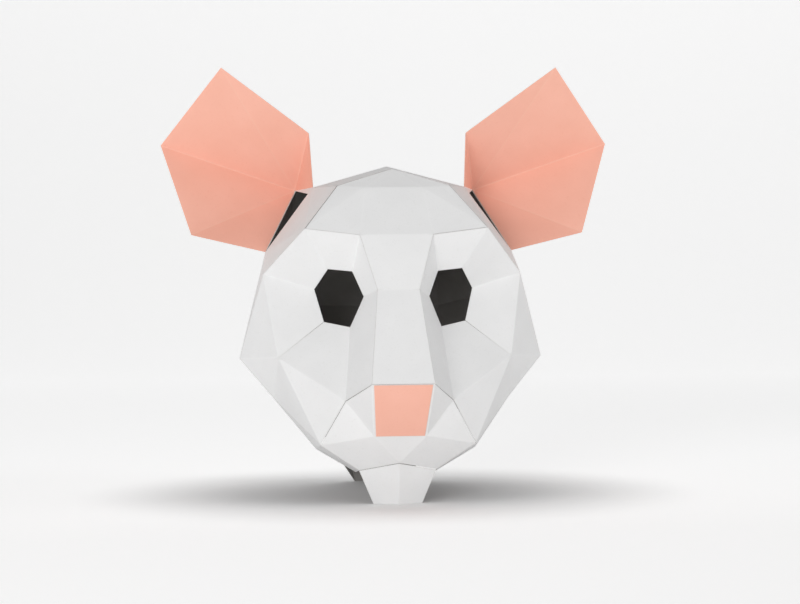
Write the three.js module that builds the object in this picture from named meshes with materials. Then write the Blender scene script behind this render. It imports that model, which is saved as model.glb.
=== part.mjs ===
// Mouse mask of folded card: white head, pink ears and nose. Millimetres, +Z up, face towards -Y.
// It stands on the chin and the nape edge; the origin lies on that level, in the middle of the box.
import * as THREE from 'three';

const CARD = 1.0; // thickness of the card
const SEAM = 0.36; // gap between two sheets where they meet
const EAR_ROOT = 1.2; // how far the ear stops short of the slot it stands on
const PANEL = { thick: 0.6, lift: 0.3, side: 1.5, end: 0.5 }; // the nose panel and its margins

// Fold corners of one half of the head. half: out from the middle; fore: in front of the crown's peak;
// high: above the edges that the mask stands on.
const HEAD = {
  crown_peak: { half: 0, fore: 0, high: 261 },
  crown_front: { half: 0, fore: 55, high: 255.5 },
  crown_side: { half: 43.2, fore: 72, high: 241.5 },
  hairline: { half: 22, fore: 74, high: 240 },
  brow_outer: { half: 69, fore: 100, high: 208 },
  brow_inner: { half: 27.7, fore: 99.5, high: 203 },
  bridge: { half: 15.7, fore: 114, high: 161.8 },
  eye_top_outer: { half: 51.1, fore: 82, high: 177.8 },
  eye_top_inner: { half: 32.6, fore: 81.5, high: 175.9 },
  eye_inner: { half: 24.8, fore: 93, high: 156.6 },
  eye_low_inner: { half: 34.7, fore: 83.5, high: 133.7 },
  eye_low_outer: { half: 54.1, fore: 72.5, high: 137.8 },
  eye_slit_top: { half: 54.3, fore: 72.3, high: 138.2 },
  eye_outer: { half: 60.8, fore: 62.5, high: 162.8 },
  temple: { half: 99.9, fore: 52, high: 174.7 },
  cheek: { half: 89.2, fore: 75, high: 110.8 },
  side_point: { half: 118.7, fore: 29.5, high: 109.3 },
  jaw_back: { half: 92, fore: 37.5, high: 78 },
  nose_top: { half: 23, fore: 152, high: 92.8 },
  nose_low: { half: 19.7, fore: 118, high: 53 },
  muzzle_top: { half: 40.2, fore: 114, high: 79.3 },
  jaw: { half: 58.6, fore: 98, high: 45.7 },
  lip_middle: { half: 0, fore: 103, high: 31.5 },
  lip_corner: { half: 29.3, fore: 88, high: 25.4 },
  chin_corner: { half: 18.6, fore: 86, high: 0 },
  chin_tip: { half: 0, fore: 96, high: 0 },
  jaw_strip_end: { half: 61, fore: 72, high: 41 },
  lip_strip_end: { half: 30.5, fore: 67, high: 22.5 },
  ear_root_top: { half: 60, fore: 24, high: 243 },
  ear_root_low: { half: 97.5, fore: 19, high: 192.8 },
  ear_cup: { half: 72.4, fore: -28, high: 243.3 },
  slot_top: { half: 63.8, fore: 23.5, high: 238 },
  crown_rear: { half: 44, fore: -72, high: 250 },
  side_rear: { half: 92, fore: -62, high: 160 },
  rim_rear: { half: 82, fore: -45, high: 92 },
  back_middle: { half: 54, fore: -132, high: 150 },
  nape: { half: 22, fore: -110, high: 0 },
};

// Corners of the ear: its rim from the upper root round to the lower root, and the bottom of the cup.
// In front of the cup's bottom, from slot_top to the lower root, the head's side is left open.
const EAR = {
  ear_root_top: HEAD.ear_root_top,
  ear_inner: { half: 62.5, fore: 16, high: 286.4 },
  ear_tip: { half: 130.7, fore: 42, high: 335.2 },
  ear_outer: { half: 180, fore: -16, high: 279.6 },
  ear_lower: { half: 155.6, fore: 12, high: 206.8 },
  ear_root_low: HEAD.ear_root_low,
  ear_cup: HEAD.ear_cup,
};

// Each row is one flat between folds, by its corners in order. A name that ends in - is the mirrored corner.
const MIDDLE_FLATS = {
  face_centre: [
    'crown_front hairline hairline-',
    'hairline brow_inner brow_inner- hairline-',
    'brow_inner bridge bridge- brow_inner-',
    'bridge nose_top nose_top- bridge-',
  ],
  muzzle: ['nose_top nose_low nose_low- nose_top-', 'nose_low lip_middle nose_low-'],
  chin: [],
  crown_back: ['crown_peak crown_rear- crown_rear'],
  back: ['crown_rear crown_rear- back_middle- back_middle', 'back_middle back_middle- nape- nape'],
};
const PAIRED_FLATS = {
  face_centre: [
    'crown_front crown_side hairline',
    'crown_side brow_outer hairline',
    'hairline brow_outer brow_inner',
  ],
  muzzle: [
    'nose_top muzzle_top nose_low',
    'muzzle_top jaw nose_low',
    'nose_low jaw lip_corner lip_middle',
  ],
  chin: ['lip_middle lip_corner chin_corner chin_tip'],
  crown_back: [
    'crown_front crown_peak crown_side',
    'crown_peak ear_root_top crown_side',
    'crown_peak crown_rear ear_root_top',
  ],
  back: [],
};
const SIDE_FLATS = {
  face: [
    'brow_outer eye_top_outer eye_top_inner brow_inner',
    'brow_inner eye_top_inner eye_inner bridge',
    'bridge eye_inner eye_low_inner muzzle_top nose_top',
    'muzzle_top eye_low_inner eye_low_outer cheek',
    'cheek eye_slit_top eye_outer temple',
    'temple eye_outer eye_top_outer brow_outer',
    'temple side_point cheek',
    'side_point jaw_back cheek',
    'cheek jaw_back jaw',
    'cheek jaw muzzle_top',
  ],
  jaw_strip: ['jaw jaw_strip_end lip_strip_end lip_corner', 'jaw_back jaw_strip_end jaw'],
  side: [
    'brow_outer crown_side ear_root_top',
    'brow_outer ear_root_top slot_top ear_root_low',
    'brow_outer ear_root_low temple',
    'temple ear_root_low side_point',
    'ear_root_top ear_cup slot_top',
    'ear_root_top crown_rear ear_cup',
    'ear_cup crown_rear side_rear',
    'ear_cup side_rear ear_root_low',
    'ear_root_low side_rear side_point',
    'side_point side_rear rim_rear',
    'side_point rim_rear jaw_back',
  ],
  back: [
    'crown_rear back_middle side_rear',
    'side_rear back_middle rim_rear',
    'rim_rear back_middle nape',
  ],
};
const EAR_FLATS = [
  'ear_cup ear_root_top ear_inner',
  'ear_cup ear_inner ear_tip',
  'ear_cup ear_tip ear_outer',
  'ear_cup ear_outer ear_lower',
  'ear_cup ear_lower ear_root_low',
];

const COLOURS = { white: '#eceae6', pink: '#e79f8b' };
const HEART = new THREE.Vector3(0, 0, 130); // inside the head: every flat of it faces away from here
const BEHIND_EAR = new THREE.Vector3(120, 300, 250); // the ear's flats show their faces away from here

// The box's middle, front to back, so that the origin lies under it.
const rows = [...Object.values(HEAD), ...Object.values(EAR)];
const fores = rows.map((row) => row.fore);
const MIDDLE = (Math.max(...fores) + Math.min(...fores)) / 2;

function mirrored(name) {
  return name.endsWith('-') ? name.slice(0, -1) : `${name}-`;
}

// A corner by its name, in the part's frame. Corners on the middle line are their own mirror image.
function corner(table, name) {
  const row = table[name.replace('-', '')];
  const half = name.endsWith('-') ? -row.half : row.half;
  return new THREE.Vector3(half, MIDDLE - row.fore, row.high);
}

// A flat as a list of corner names, without the mark on middle corners, running round its outward normal.
function flat(table, text, from) {
  const ownMirror = (name) => table[name.replace('-', '')].half === 0;
  const names = text.split(' ').map((name) => (ownMirror(name) ? name.replace('-', '') : name));
  const points = names.map((name) => corner(table, name));
  const normal = new THREE.Vector3();
  for (let i = 1; i + 1 < points.length; i += 1) {
    const a = points[i].clone().sub(points[0]);
    const b = points[i + 1].clone().sub(points[0]);
    normal.add(a.cross(b));
  }
  normal.normalize();
  const middle = points.reduce((sum, p) => sum.add(p), new THREE.Vector3()).divideScalar(points.length);
  if (normal.dot(middle.sub(from)) < 0) {
    names.push(...names.splice(1).reverse());
    normal.negate();
  }
  return { names, normal };
}

function mirrorText(text) {
  return text.split(' ').map(mirrored).join(' ');
}

// The small move that best meets a list of wishes, each a direction and how far to go along it.
function bestMove(wishes) {
  const m = new THREE.Matrix3().set(1e-4, 0, 0, 0, 1e-4, 0, 0, 0, 1e-4);
  const e = m.elements;
  const right = new THREE.Vector3();
  for (const { along, far } of wishes) {
    const v = along.toArray();
    for (let r = 0; r < 3; r += 1) {
      for (let c = 0; c < 3; c += 1) {
        e[c * 3 + r] += v[r] * v[c];
      }
    }
    right.addScaledVector(along, far);
  }
  return right.applyMatrix3(m.invert());
}

const edgeKey = (a, b) => [a, b].sort().join('|');

// All flats of a set of sheets, and for each fold edge the sheets that meet on it.
function survey(sheets) {
  const edges = new Map();
  for (const [sheet, flats] of Object.entries(sheets)) {
    for (const f of flats) {
      f.names.forEach((name, i) => {
        const key = edgeKey(name, f.names[(i + 1) % f.names.length]);
        edges.set(key, [...(edges.get(key) ?? []), sheet]);
      });
    }
  }
  return edges;
}

// A closed sheet of card: the outer flats, the same flats one card thickness further in, and the cut edges.
// Sheets share their mitres, and keep half a seam from each edge that another sheet meets.
function foldCard(table, sheet, sheets, edges, seamAt) {
  const flats = sheets[sheet];
  const all = Object.values(sheets).flat();
  const names = [...new Set(flats.flatMap((f) => f.names))];
  const outer = new Map();
  const inner = new Map();
  for (const name of names) {
    const here = corner(table, name);
    const onFloor = here.z === 0;
    const floor = onFloor ? [{ along: new THREE.Vector3(0, 0, 4), far: 0 }] : [];
    const inward = all.filter((f) => f.names.includes(name)).map((f) => ({ along: f.normal, far: -CARD }));
    const trim = [];
    for (const f of flats.filter((one) => one.names.includes(name))) {
      trim.push({ along: f.normal, far: 0 });
      f.names.forEach((a, i) => {
        const b = f.names[(i + 1) % f.names.length];
        const far = seamAt(edges.get(edgeKey(a, b)), a, b);
        if (far > 0 && (a === name || b === name)) {
          const run = corner(table, b).sub(corner(table, a)).normalize();
          trim.push({ along: f.normal.clone().cross(run), far });
        }
      });
    }
    const moved = here.clone().add(bestMove([...trim, ...floor]));
    const within = moved.clone().add(bestMove([...inward, ...floor]));
    outer.set(name, onFloor ? moved.setZ(0) : moved);
    inner.set(name, onFloor ? within.setZ(0) : within);
  }
  const points = [];
  const put = (...corners) => corners.forEach((p) => points.push(p.x, p.y, p.z));
  const ring = new Map();
  for (const f of flats) {
    for (let i = 1; i + 1 < f.names.length; i += 1) {
      const tri = [f.names[0], f.names[i], f.names[i + 1]];
      put(...tri.map((name) => outer.get(name)));
      put(...tri.reverse().map((name) => inner.get(name)));
    }
    f.names.forEach((a, i) => {
      const b = f.names[(i + 1) % f.names.length];
      const key = edgeKey(a, b);
      if (ring.has(key)) {
        ring.delete(key);
      } else {
        ring.set(key, [a, b]);
      }
    });
  }
  for (const [a, b] of ring.values()) {
    const across = a.replace('-', '') < b.replace('-', '');
    put(outer.get(b), outer.get(a), inner.get(across ? a : b));
    put(outer.get(across ? b : a), inner.get(a), inner.get(b));
  }
  return meshOf(points);
}

function meshOf(points) {
  const geometry = new THREE.BufferGeometry();
  geometry.setAttribute('position', new THREE.Float32BufferAttribute(points, 3));
  geometry.computeVertexNormals();
  return geometry;
}

// The flat nose panel, lying just off the muzzle's front flat, inside its outline.
function nosePanel() {
  const f = flat(HEAD, 'nose_top nose_low nose_low- nose_top-', HEART);
  const ends = { nose_top: -1, nose_low: 1 };
  const down = corner(HEAD, 'nose_low').sub(corner(HEAD, 'nose_top')).setX(0).normalize();
  const at = (name, lift) => {
    const base = name.replace('-', '');
    const p = corner(HEAD, name);
    p.x -= Math.sign(p.x) * PANEL.side;
    return p.addScaledVector(down, -ends[base] * PANEL.end).addScaledVector(f.normal, lift);
  };
  const under = f.names.map((name) => at(name, PANEL.lift));
  const over = f.names.map((name) => at(name, PANEL.lift + PANEL.thick));
  const points = [];
  const quad = (a, b, c, d) => [a, b, c, a, c, d].forEach((p) => points.push(p.x, p.y, p.z));
  quad(...over);
  quad(...[...under].reverse());
  under.forEach((p, i) => {
    const j = (i + 1) % under.length;
    quad(p, under[j], over[j], over[i]);
  });
  return meshOf(points);
}

function piece(name, geometry, colour) {
  const material = new THREE.MeshStandardMaterial({ color: colour, roughness: 0.85, metalness: 0 });
  const mesh = new THREE.Mesh(geometry, material);
  mesh.name = name;
  return mesh;
}

const headSheets = {};
for (const [sheet, texts] of Object.entries(PAIRED_FLATS)) {
  const both = [...MIDDLE_FLATS[sheet], ...texts, ...texts.map(mirrorText)];
  headSheets[sheet] = both.map((text) => flat(HEAD, text, HEART));
}
for (const [sheet, texts] of Object.entries(SIDE_FLATS)) {
  headSheets[`left_${sheet}`] = texts.map((text) => flat(HEAD, text, HEART));
  headSheets[`right_${sheet}`] = texts.map((text) => flat(HEAD, mirrorText(text), HEART));
}
const headEdges = survey(headSheets);
const headSeam = (meeting) => (new Set(meeting).size > 1 ? SEAM / 2 : 0);

const mask = new THREE.Group();
mask.name = 'mouse_mask';
for (const sheet of Object.keys(headSheets)) {
  mask.add(piece(sheet, foldCard(HEAD, sheet, headSheets, headEdges, headSeam), COLOURS.white));
}
mask.add(piece('nose_panel', nosePanel(), COLOURS.pink));

const earRoot = new Set(['ear_root_top', 'ear_root_low', 'ear_cup']);
const onRoot = (name) => earRoot.has(name.replace('-', ''));
const earSeam = (meeting, a, b) => (onRoot(a) && onRoot(b) ? EAR_ROOT : 0);
for (const side of ['left', 'right']) {
  const texts = side === 'left' ? EAR_FLATS : EAR_FLATS.map(mirrorText);
  const from = BEHIND_EAR.clone();
  from.x *= side === 'left' ? 1 : -1;
  const ear = { [side]: texts.map((text) => flat(EAR, text, from)) };
  mask.add(piece(`${side}_ear`, foldCard(EAR, side, ear, survey(ear), earSeam), COLOURS.pink));
}

export default mask;
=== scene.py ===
# Mouse mask folded from card: a white head, coral ears and a coral nose. Metres, +Z up, face towards -Y.
# Each sheet is folded up from the corners of its folds. Glued edge to edge they make a hollow head.
from math import cos, pi, radians, sin, tan

import bpy
import numpy as np
from mathutils import Matrix, Vector


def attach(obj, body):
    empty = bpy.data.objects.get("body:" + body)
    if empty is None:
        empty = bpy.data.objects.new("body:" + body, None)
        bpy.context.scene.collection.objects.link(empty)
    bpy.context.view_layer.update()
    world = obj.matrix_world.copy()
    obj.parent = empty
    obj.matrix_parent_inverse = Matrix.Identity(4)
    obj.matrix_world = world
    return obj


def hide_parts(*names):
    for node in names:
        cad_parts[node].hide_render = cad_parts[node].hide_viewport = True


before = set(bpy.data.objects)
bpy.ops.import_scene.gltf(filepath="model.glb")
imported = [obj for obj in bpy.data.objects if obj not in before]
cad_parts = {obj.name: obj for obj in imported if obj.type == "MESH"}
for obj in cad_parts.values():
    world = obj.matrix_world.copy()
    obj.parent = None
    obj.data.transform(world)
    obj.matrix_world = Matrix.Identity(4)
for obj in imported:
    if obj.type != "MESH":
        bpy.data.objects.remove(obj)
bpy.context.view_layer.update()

# The middle strip of the face: forehead, brow and the long ridge of the snout, in one sheet of white card.
# It is cut flat, scored and folded along every line between two flats, and glued to its neighbours inside.
CARD = 0.0006  # thickness of the card
BUTT = 0.00005  # how far a sheet stops short of a glued edge
SKIVE = 0.0003  # how far the back of a sheet is cut back along its edges
SOFT_FOLD = 0.0005  # half the width of a rounded fold
FOLD_STEP = 0.005  # spacing of the points along a fold
FOLD_FADE = 0.4  # what is left of a worn fold or edge one fold's width away from it
FOLD_RINGS = ((1.0, 0.12), (2.4, 0.25))  # rings along the folds: how many soft folds wide, most of a flat
INNER_RINGS = (0.75, 0.5, 0.25)  # wide rings within them, as shares of what is left
BOW = 0.00018  # how far a flat may bulge or dish
FLOOR_PULL = 4.0  # how firmly a corner that stands on the floor stays there
LEAST_PULL = 1e-4  # holds a corner still where no flat says which way to go
CROWN_BACK = 0.010  # the crown's peak lies this far behind the origin
HEART = np.array([0.0, 0.0, 0.13])  # inside the head: its flats face away from here
CORNERS = {}
springback = np.random.default_rng(11)


def add_corners(rows):
    """Fold corners in mm: half from the middle, fore of the crown's peak, high above the floor."""
    for name, (half, fore, high) in rows.items():
        place = np.array([half / 1000, CROWN_BACK - fore / 1000, high / 1000])
        CORNERS[name] = place
        if half:
            CORNERS[name + "-"] = place * [-1, 1, 1]


def mirrored(text):
    """The same flat on the other side of the face: a corner that ends in - is a mirrored one."""
    names = [name[:-1] if name.endswith("-") else name + "-" for name in text.split()]
    return " ".join(name if name in CORNERS else name[:-1] for name in names)


def both_sides(texts):
    return [*texts, *map(mirrored, texts)]


def unit(vector):
    return vector / np.linalg.norm(vector)


class Flat:
    """One flat between folds, its corners running round the side that shows."""

    def __init__(self, text, behind):
        self.names = text.split()
        ring = [CORNERS[name] for name in self.names]
        self.middle = np.mean(ring, axis=0)
        spokes = [corner - self.middle for corner in ring]
        self.normal = unit(sum(np.cross(a, b) for a, b in zip(spokes, spokes[1:] + spokes[:1])))
        if self.normal @ (self.middle - behind) < 0:
            self.names = self.names[:1] + self.names[:0:-1]
            self.normal = -self.normal
        self.bow = springback.uniform(-BOW, BOW)

    def sides(self):
        return list(zip(self.names, self.names[1:] + self.names[:1]))

    def inward(self, a, b):
        """The way from the edge a-b into the flat."""
        return unit(np.cross(self.normal, CORNERS[b] - CORNERS[a]))


def best_move(wishes):
    """The small move that best meets a list of wishes, each a direction and how far to go along it."""
    along = np.array([way for way, far in wishes])
    far = np.array([far for way, far in wishes])
    return np.linalg.solve(along.T @ along + LEAST_PULL * np.eye(3), along.T @ far)


def set_corners(flats, edges, parted, thick):
    """Places of the corners on the face and on the back of one sheet, drawn in from its cut edges."""
    face, back = {}, {}
    for name in dict.fromkeys(name for flat in flats for name in flat.names):
        at_floor = CORNERS[name][2] == 0
        floor = [(np.array([0.0, 0.0, FLOOR_PULL]), 0.0)] if at_floor else []
        trim, inset = list(floor), list(floor)
        for flat in flats:
            if name not in flat.names:
                continue
            trim.append((flat.normal, 0.0))
            inset.append((flat.normal, -thick))
            for a, b in flat.sides():
                if name in (a, b) and len(edges[frozenset((a, b))]) == 1:
                    gap = parted.get(frozenset((a, b)), BUTT)
                    trim.append((flat.inward(a, b), gap))
                    inset.append((flat.inward(a, b), SKIVE))
        face[name] = CORNERS[name] + best_move(trim)
        back[name] = face[name] + best_move(inset)
        if at_floor:
            face[name][2] = back[name][2] = 0.0
    return face, back


def fold_ease(flats, edges):
    """How far each fold's line sinks where the card bends round it instead of breaking."""
    ease = {}
    for pair, owners in edges.items():
        if len(owners) == 2:
            one, other = (flats[i] for i in owners)
            turn = np.arccos(np.clip(one.normal @ other.normal, -1, 1))
            ridge = 1 if (other.middle - one.middle) @ one.normal < 0 else -1
            ease[pair] = -ridge * SOFT_FOLD * tan(turn / 4) * unit(one.normal + other.normal)
    return ease


def fold_steps(edges):
    """How many points each fold or edge is laid out with."""
    steps = {}
    for pair in edges:
        a, b = sorted(pair)
        steps[pair] = max(2, round(np.linalg.norm(CORNERS[a] - CORNERS[b]) / FOLD_STEP))
    return steps


class SheetMesh:
    """Points, faces and marks of one sheet while it is being laid out."""

    def __init__(self):
        self.index, self.points, self.fold, self.rim = {}, [], [], []
        self.faces, self.inside, self.cut = [], [], []

    def put(self, key, place, fold=0.0, rim=0.0):
        if key not in self.index:
            self.index[key] = len(self.points)
            self.points.append(place)
            self.fold.append(fold)
            self.rim.append(rim)
        return self.index[key]

    def face(self, ring, inside=0.0, cut=0.0):
        self.faces.append(ring[::-1] if inside else ring)
        self.inside.append(inside)
        self.cut.append(cut)


def lay_flat(sheet, flat, number, corners, ease, steps, inside):
    """One flat as rings of quads round its middle: narrow rings along the folds, wide ones within."""
    straight, outer = [], []
    for a, b in flat.sides():
        pair = frozenset((a, b))
        first, last = sorted(pair)
        for step in range(steps[pair]):
            share = step / steps[pair]
            place = corners[a] * (1 - share) + corners[b] * share
            straight.append(place)
            if step == 0:
                meeting = [ease[p] for p in steps if a in p and p in ease]
                sunk = sum(meeting) / len(meeting) if meeting else 0.0
                on_fold, on_rim = bool(meeting), any(a in p and p not in ease for p in steps)
                key = (inside, a)
            else:
                sunk = ease.get(pair, 0.0)
                on_fold, on_rim = pair in ease, pair not in ease
                count = step if a == first else steps[pair] - step
                key = (inside, first, last, count)
            outer.append(sheet.put(key, place + sunk, float(on_fold), float(on_rim)))
    rim = outer
    middle = np.mean([corners[name] for name in flat.names], axis=0)
    reach = np.mean([abs((corners[a] - middle) @ flat.inward(a, b)) for a, b in flat.sides()])
    levels = [1 - min(width * SOFT_FOLD / reach, most) for width, most in FOLD_RINGS]
    levels += [levels[-1] * share for share in INNER_RINGS]
    for level, share in enumerate(levels):
        ring = []
        fade = FOLD_FADE if level == 0 else 0.0
        bulge = flat.normal * flat.bow * (1 - share**2)
        for i, place in enumerate(straight):
            spot = middle + (place - middle) * share + bulge
            worn_fold, worn_rim = sheet.fold[rim[i]] * fade, sheet.rim[rim[i]] * fade
            ring.append(sheet.put((inside, number, level, i), spot, worn_fold, worn_rim))
        for i in range(len(rim)):
            j = (i + 1) % len(rim)
            sheet.face([outer[i], outer[j], ring[j], ring[i]], inside)
        outer = ring
    centre = sheet.put((inside, number), middle + flat.normal * flat.bow)
    for i in range(len(rim)):
        sheet.face([outer[i], outer[(i + 1) % len(rim)], centre], inside)
    return rim


def fold_card(name, texts, material, node, behind=HEART, parted=None, thick=CARD):
    """A sheet folded along its flats' common edges: a face, a back and the cut edge between them."""
    flats = [Flat(text, behind) for text in texts]
    edges = {}
    for number, flat in enumerate(flats):
        for a, b in flat.sides():
            edges.setdefault(frozenset((a, b)), []).append(number)
    parted = {frozenset(pair.split()): gap for pair, gap in (parted or {}).items()}
    face, back = set_corners(flats, edges, parted, thick)
    ease, steps = fold_ease(flats, edges), fold_steps(edges)
    sheet = SheetMesh()
    for number, flat in enumerate(flats):
        front = lay_flat(sheet, flat, number, face, ease, steps, 0.0)
        rear = lay_flat(sheet, flat, number, back, ease, steps, 1.0)
        at = 0
        for a, b in flat.sides():
            pair = frozenset((a, b))
            for step in range(at, at + steps[pair]):
                after = (step + 1) % len(front)
                if len(edges[pair]) == 1:
                    sheet.face([front[after], front[step], rear[step], rear[after]], cut=1.0)
            at += steps[pair]
    return card_piece(name, sheet, material, node)


def card_piece(name, sheet, material, node):
    """The laid-out sheet as a piece of the mask, smooth over its folds and sharp along its cut edges."""
    mesh = bpy.data.meshes.new(name)
    mesh.from_pydata([tuple(point) for point in sheet.points], [], sheet.faces)
    for mark, domain, values in (
        ("fold", "POINT", sheet.fold),
        ("rim", "POINT", sheet.rim),
        ("inside", "FACE", sheet.inside),
        ("cut_edge", "FACE", sheet.cut),
    ):
        mesh.attributes.new(mark, "FLOAT", domain).data.foreach_set("value", values)
    mesh.shade_smooth()
    kind = {}
    for polygon, inside, cut in zip(mesh.polygons, sheet.inside, sheet.cut):
        for pair in polygon.edge_keys:
            kind.setdefault(pair, set()).add((inside, cut))
    for edge in mesh.edges:
        edge.use_edge_sharp = len(kind[edge.key]) > 1
    mesh.materials.append(material)
    piece = bpy.data.objects.new(name, mesh)
    bpy.context.scene.collection.objects.link(piece)
    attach(piece, "root")
    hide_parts(node)
    return piece


GRAIN_SIZES = {"Cloud Size": 0.03, "Fibre Size": 0.0016, "Tooth Size": 0.0005}
GRAIN_TURN = (0.4, 0.7, 0.3)  # sets the fibres askew to the axes
FIBRE_STRETCH = (1.0, 0.2, 1.0)
FIBRE_RISE = 0.4  # how far a fibre stands up, against the tooth


def card_surface():
    """Shared by every card: cloudy tone, short fibres and the fine tooth of an uncoated sheet."""
    tree = bpy.data.node_groups.new("card_surface", "ShaderNodeTree")
    for name, size in GRAIN_SIZES.items():
        socket = tree.interface.new_socket(name, in_out="INPUT", socket_type="NodeSocketFloat")
        socket.default_value = size
    for name in ("Cloud", "Fibre", "Height"):
        tree.interface.new_socket(name, in_out="OUTPUT", socket_type="NodeSocketFloat")
    new, link = tree.nodes.new, tree.links.new
    sizes, out, place = new("NodeGroupInput"), new("NodeGroupOutput"), new("ShaderNodeTexCoord")

    def noise(size, detail, stretch=(1.0, 1.0, 1.0)):
        turn = new("ShaderNodeMapping")
        turn.inputs["Scale"].default_value = stretch
        turn.inputs["Rotation"].default_value = GRAIN_TURN
        per_metre = new("ShaderNodeMath")
        per_metre.operation = "DIVIDE"
        per_metre.inputs[0].default_value = 1.0
        texture = new("ShaderNodeTexNoise")
        texture.inputs["Detail"].default_value = detail
        link(place.outputs["Object"], turn.inputs["Vector"])
        link(turn.outputs["Vector"], texture.inputs["Vector"])
        link(sizes.outputs[size], per_metre.inputs[1])
        link(per_metre.outputs[0], texture.inputs["Scale"])
        return texture.outputs["Fac"]

    def remap(value, low, high):
        ramp = new("ShaderNodeMapRange")
        ramp.inputs["From Min"].default_value = low
        ramp.inputs["From Max"].default_value = high
        link(value, ramp.inputs["Value"])
        return ramp.outputs["Result"]

    link(remap(noise("Cloud Size", detail=3.0), low=0.3, high=0.7), out.inputs["Cloud"])
    fibre = remap(noise("Fibre Size", detail=2.0, stretch=FIBRE_STRETCH), low=0.6, high=0.74)
    link(fibre, out.inputs["Fibre"])
    height = new("ShaderNodeMath")
    height.operation = "MULTIPLY_ADD"
    height.inputs[1].default_value = FIBRE_RISE
    link(fibre, height.inputs[0])
    link(noise("Tooth Size", detail=4.0), height.inputs[2])
    link(height.outputs[0], out.inputs["Height"])
    return tree


CARD_SURFACE = card_surface()
FIBRE_SHOWN = 0.5
WEAR_SHOWN = {"fold": 0.5, "rim": 0.3}
MATT = {"To Min": 0.72, "To Max": 0.86}  # roughness from the hollows to the tops of the tooth


def card_material(name, tones, fibre_tone, back_and_hollow_shade_tones, edge_tone, fold_tone):
    """Matt card: clouded tone, faint fibres, a back of its own tone, and worn folds and cut edges. On the
    white card the dark grey back is partly painted shade, so that the hollow reads dark.
    """
    material = bpy.data.materials.new(name)
    material.use_nodes = True
    tree = material.node_tree
    new, link = tree.nodes.new, tree.links.new
    shader = tree.nodes["Principled BSDF"]
    surface = new("ShaderNodeGroup")
    surface.node_tree = CARD_SURFACE

    def mark(attribute, strength=1.0):
        reader, scale = new("ShaderNodeAttribute"), new("ShaderNodeMath")
        reader.attribute_name = attribute
        scale.operation = "MULTIPLY"
        scale.inputs[1].default_value = strength
        link(reader.outputs["Fac"], scale.inputs[0])
        return scale.outputs[0]

    def blend(factor, one, other):
        mix = new("ShaderNodeMix")
        mix.data_type = "RGBA"
        link(factor, mix.inputs["Factor"])
        colour_a, colour_b, mixed = mix.inputs[6], mix.inputs[7], mix.outputs[2]
        for socket, tone in ((colour_a, one), (colour_b, other)):
            if isinstance(tone, tuple):
                socket.default_value = (*tone, 1.0)
            else:
                link(tone, socket)
        return mixed

    cloud = surface.outputs["Cloud"]
    faint = new("ShaderNodeMath")
    faint.operation = "MULTIPLY"
    faint.inputs[1].default_value = FIBRE_SHOWN
    link(surface.outputs["Fibre"], faint.inputs[0])
    colour = blend(faint.outputs[0], blend(cloud, *tones), fibre_tone)
    colour = blend(mark("fold", WEAR_SHOWN["fold"]), colour, fold_tone)
    colour = blend(mark("rim", WEAR_SHOWN["rim"]), colour, edge_tone)
    # the back of the sheet: on the white card a dark grey that partly paints the shade inside the hollow
    colour = blend(mark("inside"), colour, blend(cloud, *back_and_hollow_shade_tones))
    colour = blend(mark("cut_edge"), colour, edge_tone)
    link(colour, shader.inputs["Base Color"])
    rough = new("ShaderNodeMapRange")
    for end, roughness in MATT.items():
        rough.inputs[end].default_value = roughness
    link(surface.outputs["Height"], rough.inputs["Value"])
    link(rough.outputs["Result"], shader.inputs["Roughness"])
    shader.inputs["Specular IOR Level"].default_value = 0.22
    bump = new("ShaderNodeBump")
    bump.inputs["Strength"].default_value = 0.12
    bump.inputs["Distance"].default_value = 0.0002
    link(surface.outputs["Height"], bump.inputs["Height"])
    link(bump.outputs["Normal"], shader.inputs["Normal"])
    return material


WHITE_CARD = card_material(
    "white_card",
    tones=((0.80, 0.80, 0.80), (0.83, 0.83, 0.83)),
    fibre_tone=(0.76, 0.76, 0.75),
    # a dark grey back: partly grey-backed board, partly painted shade for the inside of the hollow
    back_and_hollow_shade_tones=((0.20, 0.19, 0.18), (0.25, 0.24, 0.23)),
    edge_tone=(0.62, 0.61, 0.59),
    fold_tone=(0.84, 0.84, 0.84),
)
add_corners({
    "crown_front": (0, 55, 255.5),
    "crown_side": (43.2, 72, 241.5),
    "hairline": (22, 74, 240),
    "brow_outer": (69, 100, 208),
    "brow_inner": (27.7, 99.5, 203),
    "bridge": (15.7, 114, 161.8),
    "nose_top": (23, 152, 92.8),
})
fold_card(
    "face_centre_card",
    [
        "crown_front hairline hairline-",
        "hairline brow_inner brow_inner- hairline-",
        "brow_inner bridge bridge- brow_inner-",
        "bridge nose_top nose_top- bridge-",
        *both_sides([
            "crown_front crown_side hairline",
            "crown_side brow_outer hairline",
            "hairline brow_outer brow_inner",
        ]),
    ],
    WHITE_CARD,
    "face_centre",
    parted={
        "crown_front crown_side-": 0.0003,
        "crown_side- brow_outer-": 0.0005,
        "crown_side brow_outer": 0.0003,
        "brow_outer brow_inner": 0.0002,
    },
)

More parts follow.
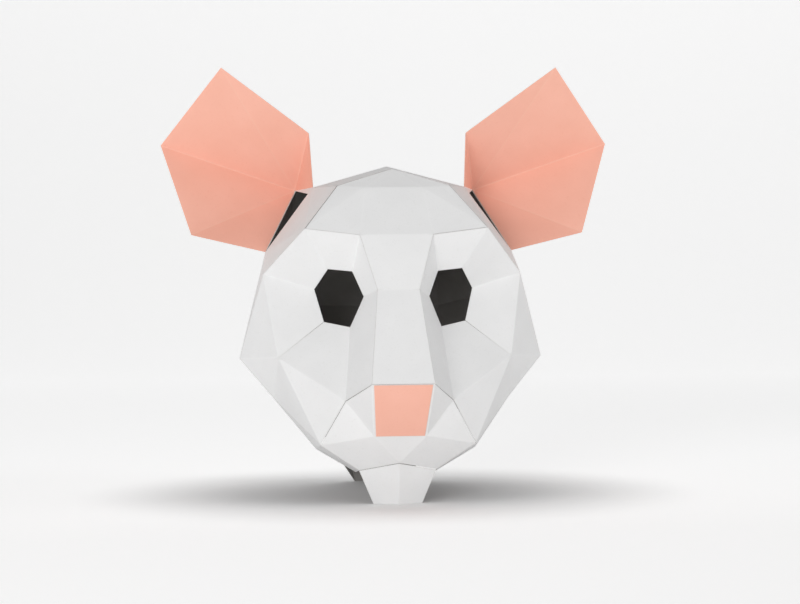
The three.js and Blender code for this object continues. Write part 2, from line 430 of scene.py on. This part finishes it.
# The two sides of the face, a sheet each: the frame round the eye hole, the cheek and the flat under it.
# Each is cut once from the eye hole to the cheek so that it can be drawn up round the eye, and glued there.
add_corners({
    "eye_top_outer": (51.1, 82, 177.8),
    "eye_top_inner": (32.6, 81.5, 175.9),
    "eye_inner": (24.8, 93, 156.6),
    "eye_low_inner": (34.7, 83.5, 133.7),
    "eye_low_outer": (54.1, 72.5, 137.8),
    "eye_slit_top": (54.15, 72.45, 137.9),
    "eye_outer": (60.8, 62.5, 162.8),
    "temple": (99.9, 52, 174.7),
    "cheek": (89.2, 75, 110.8),
    "side_point": (118.7, 29.5, 109.3),
    "jaw_back": (92, 37.5, 78),
    "muzzle_top": (40.2, 114, 79.3),
    "jaw": (58.6, 98, 45.7),
})
FACE_FLATS = [
    "brow_outer eye_top_outer eye_top_inner brow_inner",
    "brow_inner eye_top_inner eye_inner bridge",
    "bridge eye_inner eye_low_inner muzzle_top nose_top",
    "muzzle_top eye_low_inner eye_low_outer cheek",
    "cheek eye_slit_top eye_outer temple",
    "temple eye_outer eye_top_outer brow_outer",
    "temple side_point cheek",
    "side_point jaw_back cheek",
    "cheek jaw_back jaw",
    "cheek jaw muzzle_top",
]
fold_card("left_face_card", FACE_FLATS, WHITE_CARD, "left_face")
fold_card("right_face_card", map(mirrored, FACE_FLATS), WHITE_CARD, "right_face")

# The muzzle: one sheet of white card folded round the end of the snout, from the nose down to the lip.
# It stands out from the cheeks as a blunt wedge, glued along its upper edge to the face.
add_corners({
    "nose_low": (19.7, 118, 53),
    "lip_middle": (0, 103, 31.5),
    "lip_corner": (29.3, 88, 25.4),
})
fold_card(
    "muzzle_card",
    [
        "nose_top nose_low nose_low- nose_top-",
        "nose_low lip_middle nose_low-",
        *both_sides([
            "nose_top muzzle_top nose_low",
            "muzzle_top jaw nose_low",
            "nose_low jaw lip_corner lip_middle",
        ]),
    ],
    WHITE_CARD,
    "muzzle",
    parted={
        "nose_top muzzle_top": 0.00025,
        "muzzle_top jaw": 0.0004,
        "nose_top- muzzle_top-": 0.00035,
        "muzzle_top- jaw-": 0.0002,
        "lip_corner lip_middle": 0.0005,
        "lip_corner- lip_middle": 0.00025,
    },
)

# The chin: a small sheet folded once down its middle that hangs from the lip to the edge the mask stands on.
# It is white card, glued behind the lip.
add_corners({"chin_corner": (18.6, 86, 0), "chin_tip": (0, 96, 0)})
CHIN_FLATS = both_sides(["lip_middle lip_corner chin_corner chin_tip"])
fold_card("chin_card", CHIN_FLATS, WHITE_CARD, "chin")

# The jaw strips: a narrow strip of white card on each side that turns the lower edge of the jaw inwards.
# Each stiffens the open rim below the cheek and is glued along the jaw.
add_corners({"jaw_strip_end": (61, 72, 41), "lip_strip_end": (30.5, 67, 22.5)})
STRIP_FLATS = ["jaw jaw_strip_end lip_strip_end lip_corner", "jaw_back jaw_strip_end jaw"]
fold_card("left_jaw_strip_card", STRIP_FLATS, WHITE_CARD, "left_jaw_strip")
fold_card("right_jaw_strip_card", map(mirrored, STRIP_FLATS), WHITE_CARD, "right_jaw_strip")

# The sides of the head: one large sheet of white card each, from the brow round past the ear to the back.
# The ear stands on the rear edge of a slot that is cut through this sheet, so the dark hollow shows
# in front of the ear's root. The sheet's lower edge is the open rim.
add_corners({
    "ear_root_top": (60, 24, 243),
    "ear_root_low": (97.5, 19, 192.8),
    "ear_cup": (72.4, -28, 243.3),
    "slot_top": (63.8, 23.5, 238),
    "crown_rear": (44, -72, 250),
    "side_rear": (92, -62, 160),
    "rim_rear": (82, -45, 92),
})
SIDE_FLATS = [
    "brow_outer crown_side ear_root_top",
    "brow_outer ear_root_top slot_top ear_root_low",
    "brow_outer ear_root_low temple",
    "temple ear_root_low side_point",
    "ear_root_top ear_cup slot_top",
    "ear_root_top crown_rear ear_cup",
    "ear_cup crown_rear side_rear",
    "ear_cup side_rear ear_root_low",
    "ear_root_low side_rear side_point",
    "side_point side_rear rim_rear",
    "side_point rim_rear jaw_back",
]
fold_card("left_side_card", SIDE_FLATS, WHITE_CARD, "left_side")
fold_card("right_side_card", map(mirrored, SIDE_FLATS), WHITE_CARD, "right_side")

# The crown: one sheet of white card over the top of the head, folded from a peak in its middle.
# It is glued to the face strip in front, to the sides, and to the back behind.
add_corners({"crown_peak": (0, 0, 261)})
fold_card(
    "crown_back_card",
    [
        "crown_peak crown_rear- crown_rear",
        *both_sides([
            "crown_front crown_peak crown_side",
            "crown_peak ear_root_top crown_side",
            "crown_peak crown_rear ear_root_top",
        ]),
    ],
    WHITE_CARD,
    "crown_back",
)

# The back of the head: a middle sheet that falls from the crown to the nape edge, and a gusset on each side.
# All three are plain white card; the nape edge is the second edge that the mask stands on.
add_corners({"back_middle": (54, -132, 150), "nape": (22, -110, 0)})
fold_card(
    "back_card",
    ["crown_rear crown_rear- back_middle- back_middle", "back_middle back_middle- nape- nape"],
    WHITE_CARD,
    "back",
)
GUSSET_FLATS = [
    "crown_rear back_middle side_rear",
    "side_rear back_middle rim_rear",
    "rim_rear back_middle nape",
]
fold_card("left_back_card", GUSSET_FLATS, WHITE_CARD, "left_back")
fold_card("right_back_card", map(mirrored, GUSSET_FLATS), WHITE_CARD, "right_back")

# The nose: one flat panel of coral card, dyed right through, glued on the front flat of the muzzle.
# It stops a little short of the folds beside it, so that a white margin shows on both sides.
NOSE_MARGIN = {"side": 0.0015, "end": 0.0005}
NOSE_GLUE = 0.0001
NOSE_THICK = 0.0005
CORAL_CARD = card_material(
    "coral_card",
    tones=((0.91, 0.475, 0.365), (0.94, 0.505, 0.395)),
    fibre_tone=(0.89, 0.44, 0.33),
    back_and_hollow_shade_tones=((0.91, 0.475, 0.365), (0.94, 0.505, 0.395)),
    edge_tone=(0.93, 0.53, 0.42),
    fold_tone=(0.94, 0.56, 0.44),
)
NOSE_FLAT = Flat("nose_top nose_low nose_low- nose_top-", HEART)
NOSE_RUN = unit((CORNERS["nose_low"] - CORNERS["nose_top"]) * [0, 1, 1])
for end, way in (("top", 1), ("low", -1)):
    for half, mark in ((1, ""), (-1, "-")):
        spot = CORNERS[f"nose_{end}{mark}"] + NOSE_RUN * way * NOSE_MARGIN["end"]
        spot = spot + NOSE_FLAT.normal * (NOSE_GLUE + NOSE_THICK)
        CORNERS[f"panel_{end}{mark}"] = spot - np.array([half * NOSE_MARGIN["side"], 0, 0])
fold_card(
    "nose_card",
    ["panel_top panel_low panel_low- panel_top-"],
    CORAL_CARD,
    "nose_panel",
    thick=NOSE_THICK,
)

# The ears: a wide cup of coral card on each side, five flats folded round a point close to the head.
# Each is cut in one piece and glued along its root to the rear edge of the slot in the head's side.
add_corners({
    "ear_inner": (62.5, 16, 286.4),
    "ear_tip": (130.7, 42, 335.2),
    "ear_outer": (180, -16, 279.6),
    "ear_lower": (155.6, 12, 206.8),
})
EAR_FLATS = [
    "ear_cup ear_root_top ear_inner",
    "ear_cup ear_inner ear_tip",
    "ear_cup ear_tip ear_outer",
    "ear_cup ear_outer ear_lower",
    "ear_cup ear_lower ear_root_low",
]
BEHIND_EAR = np.array([0.12, 0.3, 0.25])
BEHIND_RIGHT_EAR = BEHIND_EAR * [-1, 1, 1]
fold_card("left_ear_card", EAR_FLATS, CORAL_CARD, "left_ear", BEHIND_EAR)
fold_card("right_ear_card", map(mirrored, EAR_FLATS), CORAL_CARD, "right_ear", BEHIND_RIGHT_EAR)

# The stage: a pale sweep whose floor turns up into a wall far behind the mask, so that
# no line shows. The sheet itself glows though it is no lamp (painted light), a little less in front than
# behind, and not at all right under the mask: a painted shadow that keeps the hollow dark.
SWEEP = {"front": -7.0, "turn": 2.4, "radius": 1.2, "height": 4.0, "half_width": 6.0}
TURN_STEPS = 24
SWEEP_TONE = 0.9
# painted glow of the sweep itself, in front of the mask and behind it
SWEEP_PAINTED_GLOW = {"front": 0.34, "behind": 0.38, "change_over": 0.5}
# painted shadow: no glow within this reach of a point under the mask, fading back in further out
SWEEP_PAINTED_SHADOW = {"at": (0, 0.015, 0), "within": 0.10, "faded_by": 0.26}


def pale_sweep():
    """The sheet of the sweep, from its front edge along the floor, round the turn and up the wall."""
    radius = SWEEP["radius"]
    profile = [(SWEEP["front"], 0.0)]
    for step in range(TURN_STEPS + 1):
        angle = pi / 2 * step / TURN_STEPS
        profile.append((SWEEP["turn"] + radius * sin(angle), radius * (1 - cos(angle))))
    profile.append((SWEEP["turn"] + radius, SWEEP["height"]))
    points = [(x, y, z) for y, z in profile for x in (-SWEEP["half_width"], SWEEP["half_width"])]
    faces = [(i, i + 1, i + 3, i + 2) for i in range(0, len(points) - 2, 2)]
    mesh = bpy.data.meshes.new("pale_sweep")
    mesh.from_pydata(points, [], faces)
    mesh.shade_smooth()
    material = bpy.data.materials.new("pale_sweep")
    material.use_nodes = True
    tree = material.node_tree
    shader = tree.nodes["Principled BSDF"]
    shader.inputs["Base Color"].default_value = (SWEEP_TONE, SWEEP_TONE, SWEEP_TONE, 1.0)
    shader.inputs["Roughness"].default_value = 0.9
    shader.inputs["Specular IOR Level"].default_value = 0.0
    shader.inputs["Emission Color"].default_value = (1.0, 1.0, 1.0, 1.0)
    new, link = tree.nodes.new, tree.links.new
    place, axes = new("ShaderNodeTexCoord"), new("ShaderNodeSeparateXYZ")
    away = new("ShaderNodeVectorMath")
    away.operation = "DISTANCE"
    away.inputs[1].default_value = SWEEP_PAINTED_SHADOW["at"]
    link(place.outputs["Object"], axes.inputs[0])
    link(place.outputs["Object"], away.inputs[0])

    def ramp(value, start, end, low, high):
        fade = new("ShaderNodeMapRange")
        fade.interpolation_type = "SMOOTHSTEP"
        fade.inputs["From Min"].default_value = start
        fade.inputs["From Max"].default_value = end
        fade.inputs["To Min"].default_value = low
        fade.inputs["To Max"].default_value = high
        link(value, fade.inputs["Value"])
        return fade

    reach = SWEEP_PAINTED_GLOW["change_over"]
    most = ramp(axes.outputs["Y"], -reach, reach, SWEEP_PAINTED_GLOW["front"], SWEEP_PAINTED_GLOW["behind"])
    # the painted glow, cut away round the point under the mask as a painted shadow
    painted_glow = ramp(away.outputs["Value"], SWEEP_PAINTED_SHADOW["within"], SWEEP_PAINTED_SHADOW["faded_by"], 0.0, 1.0)
    link(most.outputs["Result"], painted_glow.inputs["To Max"])
    link(painted_glow.outputs["Result"], shader.inputs["Emission Strength"])
    mesh.materials.append(material)
    sweep = bpy.data.objects.new("pale_sweep", mesh)
    bpy.context.scene.collection.objects.link(sweep)
    return sweep


pale_sweep()

# The studio light: an even surround and three soft boxes. One stands in front, a little to the left of the
# face and above it, and a weaker one on the right; both have a grid that narrows their light to the mask.
# A third box hangs above the crown. The surround shows as a pale backdrop where the sweep ends.
SURROUND = {"light": 0.39, "shown": 0.74}
SOFT_BOXES = {
    "front_box": {"at": (-0.92, -2.43, 0.50), "size": (1.2, 0.8), "grid": 60, "power": 3.5},
    "right_box": {"at": (2.33, -0.62, 0.70), "size": (1.2, 0.8), "grid": 60, "power": 1.0},
    "top_box": {"at": (0, -0.09, 2.75), "size": (1.2, 1.2), "grid": 180, "power": 4.4},
}
BOX_AIM = Vector((0, 0, 0.15))
world = bpy.data.worlds.new("surround")
world.use_nodes = True
sky = world.node_tree
seen, strength = sky.nodes.new("ShaderNodeLightPath"), sky.nodes.new("ShaderNodeMapRange")
strength.inputs["To Min"].default_value = SURROUND["light"]
strength.inputs["To Max"].default_value = SURROUND["shown"]
sky.links.new(seen.outputs["Is Camera Ray"], strength.inputs["Value"])
sky.links.new(strength.outputs["Result"], sky.nodes["Background"].inputs["Strength"])
sky.nodes["Background"].inputs["Color"].default_value = (1.0, 1.0, 1.0, 1.0)
bpy.context.scene.world = world
for name, box in SOFT_BOXES.items():
    lamp = bpy.data.lights.new(name, "AREA")
    lamp.shape = "RECTANGLE"
    lamp.size, lamp.size_y = box["size"]
    lamp.spread = radians(box["grid"])
    lamp.energy = box["power"]
    soft_box = bpy.data.objects.new(name, lamp)
    soft_box.location = box["at"]
    soft_box.rotation_euler = (BOX_AIM - Vector(box["at"])).to_track_quat("-Z", "Y").to_euler()
    bpy.context.scene.collection.objects.link(soft_box)
bpy.context.scene.view_settings.view_transform = "Standard"

# The camera stands level with the middle of the face and a little to the left of it, on a long lens, and is
# turned back towards the mask. It leans to the right by half a degree.
CAMERA = {"at": (-0.1157, -1.5858, 0.1524), "turn": 4.5, "lean": 0.56, "lens": 90.0, "sensor": 36.0}
lens = bpy.data.cameras.new("camera")
lens.lens, lens.sensor_width = CAMERA["lens"], CAMERA["sensor"]
camera = bpy.data.objects.new("camera", lens)
level = Matrix.Rotation(radians(-CAMERA["turn"]), 4, "Z") @ Matrix.Rotation(radians(90), 4, "X")
lean = Matrix.Rotation(radians(-CAMERA["lean"]), 4, "Z")
camera.matrix_world = Matrix.Translation(CAMERA["at"]) @ level @ lean
bpy.context.scene.collection.objects.link(camera)
bpy.context.scene.camera = camera

bpy.context.view_layer.update()
